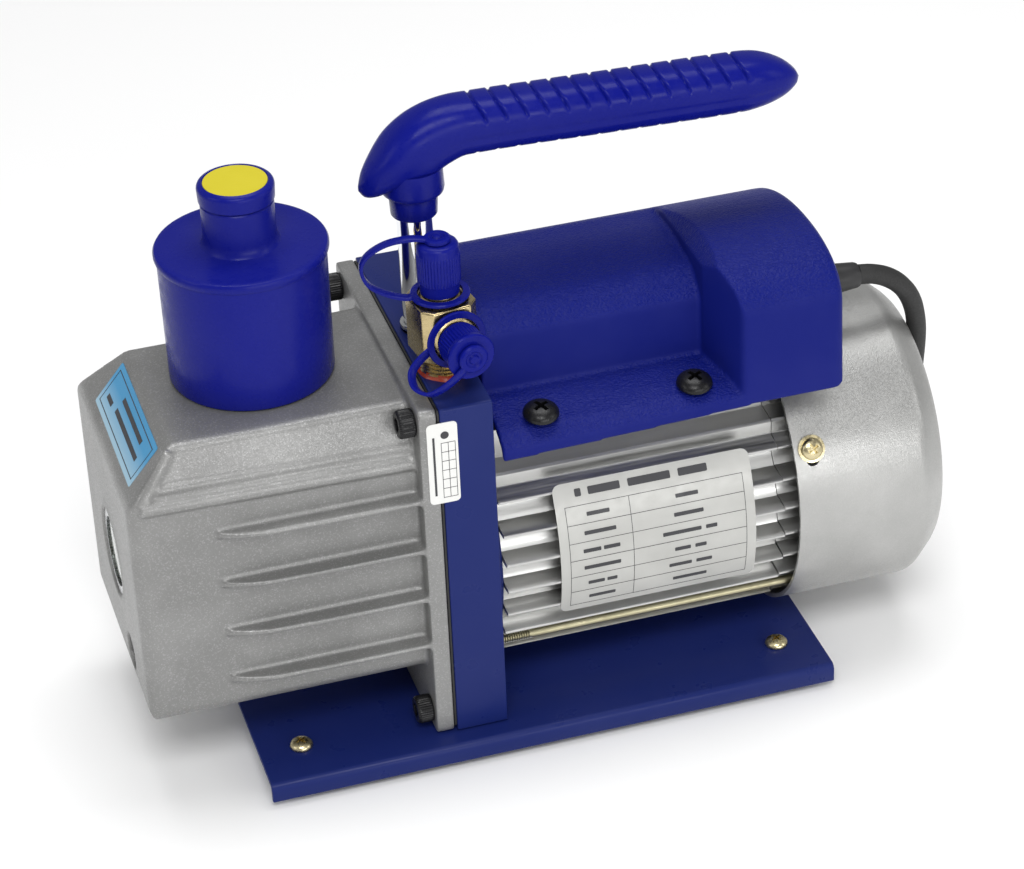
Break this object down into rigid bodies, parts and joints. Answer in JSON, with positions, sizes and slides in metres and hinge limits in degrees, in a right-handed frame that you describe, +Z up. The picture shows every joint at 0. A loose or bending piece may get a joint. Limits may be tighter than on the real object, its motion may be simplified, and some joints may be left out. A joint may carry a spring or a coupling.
{
  "type": "rotary vane vacuum pump",
  "caption": "Portable direct-drive oil-sealed rotary vane vacuum pump with oil tank, finned motor, mist filter, capped brass inlet tee, carrying handle and mains lead.",
  "frame": {"origin": "on the standing surface, below the centre of the pump's box without its mains lead", "axes": "+X along the shaft from the oil tank to the fan, +Z up, -Y towards the nameplate side"},
  "size_m": [0.3141, 0.2429, 0.2368],
  "materials": {
    "blue_gloss": "moulded blue plastic, glossy",
    "blue_texture": "moulded blue plastic, fine spark-eroded texture",
    "blue_paint": "blue baked paint, semi-gloss",
    "silver_paint": "silver metallic paint over a casting",
    "aluminium": "bare extrusion",
    "cast_iron": "machined",
    "steel": "ground",
    "zinc": "yellow zinc plate",
    "chrome": "bright plated",
    "black_steel": "black oxide",
    "brass": "machined",
    "rubber": "matt",
    "black_plastic": "moulded",
    "glass": "clear",
    "filter": "glass-fibre mist element"
  },
  "bodies": {
    "frame": {"base_plate": "blue_paint", "support_bracket": "blue_paint", "rubber_foot_1": "rubber", "rubber_foot_2": "rubber", "rubber_foot_3": "rubber", "rubber_foot_4": "rubber", "tank_gasket": "rubber", "shaft_seal": "rubber", "power_cord": "rubber", "cord_coil": "rubber", "foot_screw_1": "zinc", "foot_screw_2": "zinc", "foot_screw_3": "zinc", "foot_screw_4": "zinc", "fan_cover_screw": "zinc", "oil_tank": "silver_paint", "fan_cover": "silver_paint", "tank_screw_1": "black_steel", "tank_screw_2": "black_steel", "tank_screw_3": "black_steel", "tank_screw_4": "black_steel", "cover_screw_1": "black_steel", "cover_screw_2": "black_steel", "sight_glass": "glass", "top_cap_tether": "blue_gloss", "side_cap_tether": "blue_gloss", "handle_grip": "blue_gloss", "inlet_tee": "brass", "handle_rod": "chrome", "high_stage_stator": "cast_iron", "middle_plate": "cast_iron", "low_stage_stator": "cast_iron", "pump_end_cover": "cast_iron", "stator_core": "cast_iron", "front_bearing": "steel", "rear_bearing": "steel", "motor_housing": "aluminium", "rear_end_bell": "aluminium", "motor_cover": "blue_texture", "start_capacitor": "black_plastic", "switch_housing": "black_plastic", "cord_gland": "black_plastic", "cord_plug": "black_plastic"},
    "rotor": {"main_shaft": "steel", "rotor_core": "steel", "cooling_fan": "black_plastic", "high_stage_rotor": "steel", "low_stage_rotor": "steel", "high_stage_vane_1": "cast_iron", "high_stage_vane_2": "cast_iron", "low_stage_vane_1": "cast_iron", "low_stage_vane_2": "cast_iron"},
    "exhaust": {"exhaust_housing": "blue_gloss", "exhaust_lid": "blue_gloss", "exhaust_filter": "filter"},
    "exhaust_cap": {"exhaust_cap": "blue_gloss"},
    "top_port_cap": {"top_port_cap": "blue_gloss"},
    "side_port_cap": {"side_port_cap": "blue_gloss"},
    "drain_plug": {"drain_plug": "black_steel"},
    "switch_rocker": {"switch_rocker": "black_plastic"}
  },
  "joints": [
    {"name": "rotor_spin", "type": "hinge", "parent": "frame", "child": "rotor", "pos_m": [0, 0, 0.07], "axis": [1, 0, 0], "continuous": true},
    {"name": "exhaust_lift", "type": "slide", "parent": "frame", "child": "exhaust", "axis": [0, 0, 1], "range_m": [0, 0.03]},
    {"name": "exhaust_cap_pull", "type": "slide", "parent": "exhaust", "child": "exhaust_cap", "axis": [0, 0, 1], "range_m": [0, 0.02]},
    {"name": "top_cap_pull", "type": "slide", "parent": "frame", "child": "top_port_cap", "axis": [0, 0, 1], "range_m": [0, 0.018], "deforming": ["top_cap_tether"]},
    {"name": "side_cap_pull", "type": "slide", "parent": "frame", "child": "side_port_cap", "axis": [0.1328, -0.9911, 0], "range_m": [0, 0.018], "deforming": ["side_cap_tether"]},
    {"name": "drain_plug_pull", "type": "slide", "parent": "frame", "child": "drain_plug", "axis": [-1, 0, 0], "range_m": [0, 0.016]},
    {"name": "switch_rock", "type": "hinge", "parent": "frame", "child": "switch_rocker", "pos_m": [0.1061, 0.016, 0.147], "axis": [0, 1, 0], "range_deg": [0, 20]}
  ]
}
